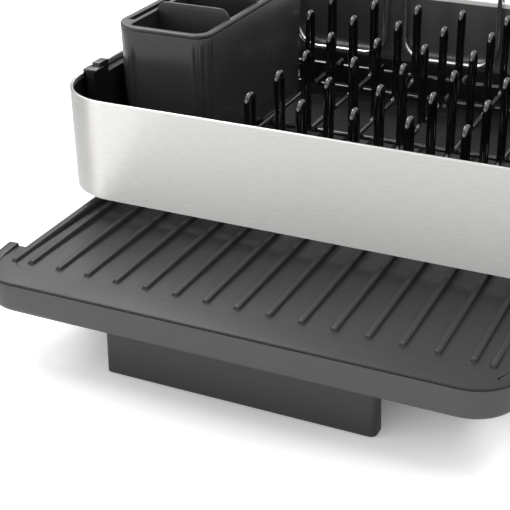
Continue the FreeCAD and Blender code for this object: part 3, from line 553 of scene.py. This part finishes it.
def finish_piece(piece, node, smooth_angle):
    """Sets a piece down to metres, shades it, and lets it ride in its node's place."""
    if bpy.context.object.mode == "EDIT":
        bpy.ops.object.mode_set(mode="OBJECT")
    bpy.ops.object.select_all(action="DESELECT")
    piece.select_set(True)
    bpy.context.view_layer.objects.active = piece
    bpy.ops.object.mode_set(mode="EDIT")
    bpy.ops.mesh.select_all(action="SELECT")
    bpy.ops.transform.resize(value=(MM, MM, MM), center_override=(0, 0, 0))
    bpy.ops.object.mode_set(mode="OBJECT")
    if smooth_angle:
        bpy.ops.object.shade_smooth_by_angle(angle=math.radians(smooth_angle))
    if not piece.data.materials:
        piece.data.materials.append(finish_of_slot[slot_of_node[node]])
    stand_for(piece, node)


# %% [markdown]
# ## The draining sheet
#
# The tray's top is one injection moulding. Its border falls gently to the edge, a fine step runs
# round it, and behind the step the floor slopes down towards the rack so that water runs back. It
# could be carved from a block, but the steps all run parallel to the outline, and that is just what
# an inset does: one rectangle with two rounded corners is inset five times and then cut to shape.

# %% Outline and border of the sheet
TRAY_FRONT, TRAY_BACK = -217.99, 91.3
UNCUT_BACK = 300.0  # the border has no rear part, so its insets there fall behind the cut
HALF_FRONT, HALF_FLANGE = 168.2, 156.4
TRAY_TOP, BORDER_FALL = 62.0, 0.5
FRONT_CORNER, RIM_WIDTH = 29.0, 3.0
# Each ring of the border goes inwards and up; the last one is the fine step down to the floor.
BORDER_RINGS = ((RIM_WIDTH, 0.25), (4.0, 0.17), (2.5, 0.08), (7.9, 0.0), (0.6, -0.3))
sheet = flat_piece("draining_sheet", (-HALF_FRONT, HALF_FRONT), (TRAY_FRONT, UNCUT_BACK),
                   TRAY_TOP - BORDER_FALL)
pick(sheet, "VERT", lambda at, _: at.y < TRAY_FRONT + 1)
bpy.ops.mesh.bevel(offset=FRONT_CORNER, segments=16, affect="VERTICES")
bpy.ops.mesh.select_mode(type="FACE")
bpy.ops.mesh.select_all(action="SELECT")
for inwards, rise in BORDER_RINGS:
    bpy.ops.mesh.inset(thickness=inwards, depth=0.0)
    move(z=rise)
print("border rings", len(BORDER_RINGS))

# %% Cut the sheet to its flanges and slope its floor
LIP_FRONT, SHOULDER = -204.0, -174.7
FLOOR_START, FLOOR_END = -189.0, -98.0
HALF_FLOOR, FLOOR_FALL = 150.2, 2.1
cut("y", TRAY_BACK, clear_beyond=True)
for y in (LIP_FRONT, FLOOR_START, SHOULDER, FLOOR_END):
    cut("y", y)
for x in (-HALF_FLANGE, HALF_FLANGE):
    cut("x", x)
pick(sheet, "FACE", lambda at, _: abs(at.x) > HALF_FLANGE and at.y > SHOULDER)
bpy.ops.mesh.delete(type="FACE")
lowered = pick(
    sheet, "VERT", lambda at, _: abs(at.x) < HALF_FLOOR + 0.1 and at.y > FLOOR_END - 0.1,
)
move(z=-FLOOR_FALL)
print("sheet cut, floor vertices lowered", lowered)

# %% [markdown]
# ### The sheet's thickness
#
# A moulded panel is thin and even all over, but its rim is thinner still, because there it rests on
# the casing and the two meet in a fine parting line. A solidify modifier would give one thickness,
# and its even offset throws spikes at steps as small as these. So the underside is pulled down
# twice, first all of it and then all but the rim.

# %% Give the sheet its thickness
RIM_THICKNESS, SHEET = 1.3, 2.5
CORNER_X, CORNER_Y = HALF_FRONT - FRONT_CORNER, TRAY_FRONT + FRONT_CORNER


def from_corner(at):
    """How far a place is from the middle of the rounded corner on its side."""
    return math.hypot(abs(at.x) - CORNER_X, at.y - CORNER_Y)


def under_the_panel(at, face):
    """True on the underside, away from the rim that rests over the casing."""
    near_side = abs(at.x) > HALF_FRONT - RIM_WIDTH or at.y < TRAY_FRONT + RIM_WIDTH
    near_edge = at.y < SHOULDER and near_side
    if abs(at.x) > CORNER_X and at.y < CORNER_Y:
        near_edge = from_corner(at) > FRONT_CORNER - RIM_WIDTH
    return face.normal.z < -0.7 and not near_edge


bpy.ops.mesh.select_mode(type="FACE")
bpy.ops.mesh.select_all(action="SELECT")
bpy.ops.mesh.extrude_region_move(TRANSFORM_OT_translate={"value": (0, 0, -RIM_THICKNESS)})
bpy.ops.mesh.select_all(action="SELECT")
bpy.ops.mesh.normals_make_consistent(inside=False)
panel_faces = pick(sheet, "FACE", under_the_panel)
bpy.ops.mesh.extrude_region_move(TRANSFORM_OT_translate={"value": (0, 0, RIM_THICKNESS - SHEET)})
print("faces thickened under the panel", panel_faces)

# %% [markdown]
# ### The lips
#
# Towards the rack the two sides of the border rise into low lips that keep the water on the sheet.
# Two wedges could be laid on top, but they would leave a joint. The outer rings of the border are
# pulled up instead, and turned about their front end so that they start at nothing.

# %% Raise the lips at the sides
LIP_WIDTH, LIP_RISE = 7.0, 2.0


def on_lip(at, face):
    """True on top of the outer rings of the border, behind the front end of the lips."""
    if face.normal.z < 0.7 or not LIP_FRONT < at.y < SHOULDER:
        return False
    if at.y > CORNER_Y:
        return abs(at.x) > HALF_FRONT - LIP_WIDTH
    return abs(at.x) > CORNER_X and from_corner(at) > FRONT_CORNER - LIP_WIDTH


lip_faces = pick(sheet, "FACE", on_lip)
bpy.ops.mesh.extrude_region_move()
lip_angle = math.atan2(LIP_RISE, SHOULDER - LIP_FRONT)
bpy.ops.transform.rotate(
    value=-lip_angle, orient_axis="X", center_override=(0, LIP_FRONT, TRAY_TOP - BORDER_FALL),
)
print("lip faces", lip_faces, "rise in degrees", round(math.degrees(lip_angle), 2))

# %% [markdown]
# ### The sheet's edges
#
# A mould leaves no knife edge, and a hand would feel one. The top edge of the rim is rounded by
# half a millimetre, so that it catches a thin line of light. Its lower edge is rounded a little
# less, so that the parting line over the casing stays fine and dark. A bevel modifier would round
# each small step of the border as well, so only these edges are selected and bevelled.

# %% Round the sheet's edges
RIM_ROUND, SEAM_ROUND = 0.5, 0.4
SEAM_HEIGHT = TRAY_TOP - BORDER_FALL - RIM_THICKNESS


def on_rim(at, edge):
    """True for a sharp top edge near the outline of the sheet or along its lips."""
    near_outline = abs(at.x) > HALF_FLANGE - 0.5 or at.y < CORNER_Y
    return is_sharp(edge, SQUARE_EDGE) and at.z > TRAY_TOP - 0.6 and near_outline


def on_seam(at, edge):
    """True for the lower edge of the rim, where the parting line runs."""
    at_seam = abs(at.z - SEAM_HEIGHT) < 0.05 and at.y < SHOULDER
    on_straight = abs(at.x) > HALF_FRONT - 0.1 or at.y < TRAY_FRONT + 0.1
    on_outline = on_straight or from_corner(at) > FRONT_CORNER - 0.3
    return is_sharp(edge, SQUARE_EDGE) and at_seam and on_outline


rim_edges = pick(sheet, "EDGE", on_rim)
bpy.ops.mesh.bevel(offset=RIM_ROUND, segments=3, affect="EDGES", clamp_overlap=False)
seam_edges = pick(sheet, "EDGE", on_seam)
bpy.ops.mesh.bevel(offset=SEAM_ROUND, segments=2, affect="EDGES", clamp_overlap=False)
bpy.ops.object.mode_set(mode="OBJECT")
bpy.ops.object.shade_smooth_by_angle(angle=math.radians(20))
print("rim edges rounded", rim_edges, "seam edges rounded", seam_edges)

# %% [markdown]
# ## The ribs
#
# Each rib is a low ridge with a soft foot, steep sides and a crown. Its crest is level while the
# floor falls away, so it grows taller to the back. A half cylinder would look like a glued-on tube;
# a strip that is inset again and again, each time a little higher, gives the moulded shape, and its
# round front end catches the light as a small bright spot. A narrower ridge runs along each side.
# All of them are joined to the sheet in the end, because the real top is one moulding.

# %% A ridge from stepped insets
ROUND_END = 0.4  # of the ridge's width
CREST_HEIGHT = 0.7  # what stands higher than this over the lowered floor is a rib's crest


def ridge(name, x, y_range, width, z, steps, falls):
    """A moulded ridge along Y: a strip with round ends, raised by stepped insets."""
    piece = flat_piece(name, (x - width / 2, x + width / 2), y_range, z)
    bpy.ops.mesh.select_mode(type="VERT")
    bpy.ops.mesh.bevel(offset=ROUND_END * width, segments=6, affect="VERTICES")
    if falls:
        for y in (FLOOR_START, FLOOR_END):
            cut("y", y)
        pick(piece, "VERT", lambda at, _: at.y > FLOOR_END - 0.1)
        move(z=-FLOOR_FALL)
    bpy.ops.mesh.select_mode(type="FACE")
    bpy.ops.mesh.select_all(action="SELECT")
    for inward, upward in steps:
        bpy.ops.mesh.inset(thickness=inward, depth=0.0)
        move(z=upward)
    if falls:
        crest = z - FLOOR_FALL + CREST_HEIGHT
        pick(piece, "VERT", lambda at, _: at.y > FLOOR_END - 1 and at.z > crest)
        move(z=FLOOR_FALL)
    bpy.ops.object.mode_set(mode="OBJECT")
    bpy.ops.object.shade_smooth_by_angle(angle=math.radians(40))
    return piece


# %% Model one rib and copy it across the sheet
RIB_COUNT, RIB_PITCH, RIB_WIDTH = 15, 20.0, 6.2
RIB_ENDS = (-194.4, 84.7)
RIB_ROOT = TRAY_TOP - 0.35
# Inwards and up, step by step: a soft foot, a steep side and a crown.
RIB_STEPS = ((0.5, 0.1), (0.35, 0.3), (0.25, 0.5), (0.2, 0.6), (0.2, 0.4), (0.3, 0.2))
first_rib = -(RIB_COUNT - 1) / 2 * RIB_PITCH
rib = ridge("rib", first_rib, RIB_ENDS, RIB_WIDTH, RIB_ROOT, RIB_STEPS, True)
ridges = [rib]
for index in range(1, RIB_COUNT):
    bpy.ops.object.select_all(action="DESELECT")
    rib.select_set(True)
    bpy.context.view_layer.objects.active = rib
    bpy.ops.object.duplicate()
    next_rib = bpy.context.object
    bpy.ops.object.mode_set(mode="EDIT")
    bpy.ops.mesh.select_all(action="SELECT")
    move(x=index * RIB_PITCH)
    bpy.ops.object.mode_set(mode="OBJECT")
    ridges.append(next_rib)
print("ribs", len(ridges), "faces each", len(rib.data.polygons))

# %% Model the ridges along the sides and join all to the sheet
EDGE_X, EDGE_WIDTH = 151.2, 4.6
EDGE_ENDS = (-194.9, 84.0)
EDGE_ROOT = TRAY_TOP - 2.4
EDGE_STEPS = ((0.05, 2.4), (0.3, 0.4), (0.25, 0.7), (0.3, 0.45), (0.4, 0.15))
for side in (-1, 1):
    ridges.append(
        ridge("edge_ridge", side * EDGE_X, EDGE_ENDS, EDGE_WIDTH, EDGE_ROOT, EDGE_STEPS, False))

bpy.ops.object.select_all(action="DESELECT")
for piece in ridges:
    piece.select_set(True)
sheet.select_set(True)
bpy.context.view_layer.objects.active = sheet
bpy.ops.object.join()
finish_piece(sheet, "tray_insert", None)

# %% [markdown]
# ## The steel band
#
# The band is one strip of 0.8 mm stainless sheet, bent round and welded, with its top edge folded
# over inwards so that no sharp edge is left. A thin solid with rounded corners would lack that
# fold, which is the bright line along the top. So the band is built as a press would: the outline,
# pulled up, then the hem set inwards, and the inner side of the sheet joined to it.

# %% Pull up the band and fold its hem
BAND_HALF, BAND_FRONT, BAND_BACK = 178.59, -108.3, 213.7
BAND_BOTTOM, BAND_TOP, BAND_CORNER = 69.6, 138.4, 43.0
BAND_SHEET, HEM_WIDTH, HEM_HEIGHT = 0.8, 2.0, 3.5
band = flat_piece(
    "steel_band_sheet", (-BAND_HALF, BAND_HALF), (BAND_FRONT, BAND_BACK), BAND_BOTTOM,
)
bpy.ops.mesh.select_mode(type="VERT")
bpy.ops.mesh.bevel(offset=BAND_CORNER, segments=24, affect="VERTICES")
bpy.ops.mesh.select_mode(type="FACE")
bpy.ops.mesh.select_all(action="SELECT")
bpy.ops.mesh.extrude_region_move(
    TRANSFORM_OT_translate={"value": (0, 0, BAND_TOP - BAND_BOTTOM)})
bpy.ops.mesh.inset(thickness=HEM_WIDTH, depth=0.0)
bpy.ops.mesh.extrude_region_move(TRANSFORM_OT_translate={"value": (0, 0, -HEM_HEIGHT)})
bpy.ops.mesh.delete(type="FACE")
print("band", round(BAND_TOP - BAND_BOTTOM, 2), "mm high, hem", HEM_WIDTH, "mm wide")

# %% Close the inner side of the band
HEM_ROUND = 0.7
pick(band, "FACE", lambda at, _: abs(at.z - BAND_BOTTOM) < 0.01)
bpy.ops.mesh.inset(thickness=BAND_SHEET, depth=0.0)
bpy.ops.mesh.extrude_region_move(
    TRANSFORM_OT_translate={"value": (0, 0, BAND_TOP - HEM_HEIGHT - BAND_BOTTOM)})
bpy.ops.mesh.delete(type="FACE")
hem_edges = pick(band, "EDGE", lambda _, edge: edge.is_boundary)
bpy.ops.mesh.bridge_edge_loops()
top_edges = pick(
    band, "EDGE",
    lambda at, edge: abs(at.z - BAND_TOP) < 0.01 and is_sharp(edge, SQUARE_EDGE),
)
bpy.ops.mesh.bevel(offset=HEM_ROUND, segments=4, affect="EDGES", clamp_overlap=False)
bpy.ops.mesh.select_all(action="SELECT")
bpy.ops.mesh.normals_make_consistent(inside=False)
print("hem edges", hem_edges, "rounded", top_edges)

# %% [markdown]
# ### The band's two finishes
#
# Only the outer side and the hem are brushed. Inside, the sheet keeps its smoother mill finish and
# mirrors the dark rack, and its colour is painted darker as painted shade for that rack. Two bands,
# one in the other, could carry the two finishes, but it is one sheet, so its inner faces are
# selected and given the second finish.

# %% Give the band its two finishes
band.data.materials.append(band_steel)
# The second slot is the inner steel, whose darker colour is painted shade.
band.data.materials.append(band_inside_painted_shade)


def on_inner_wall(at, face):
    """True on the inner side of the sheet, below the hem."""
    outwards = face.normal.x * at.x + face.normal.y * (at.y - (BAND_FRONT + BAND_BACK) / 2)
    return outwards < 0 and abs(face.normal.z) < 0.3 and at.z < BAND_TOP - HEM_HEIGHT


inner_faces = pick(band, "FACE", on_inner_wall)
band.active_material_index = 1
bpy.ops.object.material_slot_assign()
finish_piece(band, "steel_band", 30)
print("inner faces", inner_faces)

# %% [markdown]
# ## Moulded pieces
#
# A moulded or pressed piece never has a knife edge: the mould is rounded a little, and that thin
# round is what catches the light along every edge. It could be painted on, but a real bevel also
# shows in the outline. Each of these pieces starts from its node's own shape, with the loose
# triangles merged into faces, and gets a small bevel where two faces meet.

# %% Round the edges of a moulded piece
def moulded_piece(node, edge_mm):
    """A copy of a node with merged faces and rounded edges, which replaces the node."""
    bpy.ops.object.select_all(action="DESELECT")
    piece = nodes[node].copy()
    piece.data = nodes[node].data.copy()
    piece.parent = None
    piece.name = node + "_moulded"
    piece.matrix_world = Matrix.Identity(4)
    scene.collection.objects.link(piece)
    bpy.context.view_layer.objects.active = piece
    piece.select_set(True)
    bpy.ops.object.mode_set(mode="EDIT")
    bpy.ops.mesh.select_all(action="SELECT")
    bpy.ops.mesh.remove_doubles(threshold=0.002 * MM)
    bpy.ops.mesh.dissolve_limited(angle_limit=math.radians(1.0))
    bpy.ops.object.mode_set(mode="OBJECT")
    edges = piece.modifiers.new("edges", "BEVEL")
    edges.width = edge_mm * MM
    edges.segments = 2
    edges.limit_method = "ANGLE"
    edges.angle_limit = math.radians(30)
    edges.miter_outer = "MITER_ARC"
    bpy.ops.object.modifier_apply(modifier=edges.name)
    bpy.ops.object.shade_smooth_by_angle(angle=math.radians(35))
    stand_for(piece, node)


# %% Round each moulded piece, in millimetres
EDGE_OF_NODE = {
    "side_wall_left": 0.5, "side_wall_right": 0.5,
    "slide_channel_left": 0.4, "slide_channel_right": 0.4,
    "leg_front_left": 0.6, "leg_front_right": 0.6, "leg_rear_left": 0.6, "leg_rear_right": 0.6,
    "cross_beam_front": 0.6, "cross_beam_rear": 0.6, "drip_tray": 0.5, "rear_ledge": 0.5,
    "tray_stops": 0.4, "tray_foot": 0.7, "foot_pads": 0.4, "rubber_feet": 0.6, "rack_pads": 0.5,
    "caddy_divider_front": 0.5, "caddy_divider_rear": 0.5, "caddy_tub": 0.3, "caddy_insert": 0.3,
    "tray_shell": 0.4,
}
for node, edge_mm in EDGE_OF_NODE.items():
    moulded_piece(node, edge_mm)
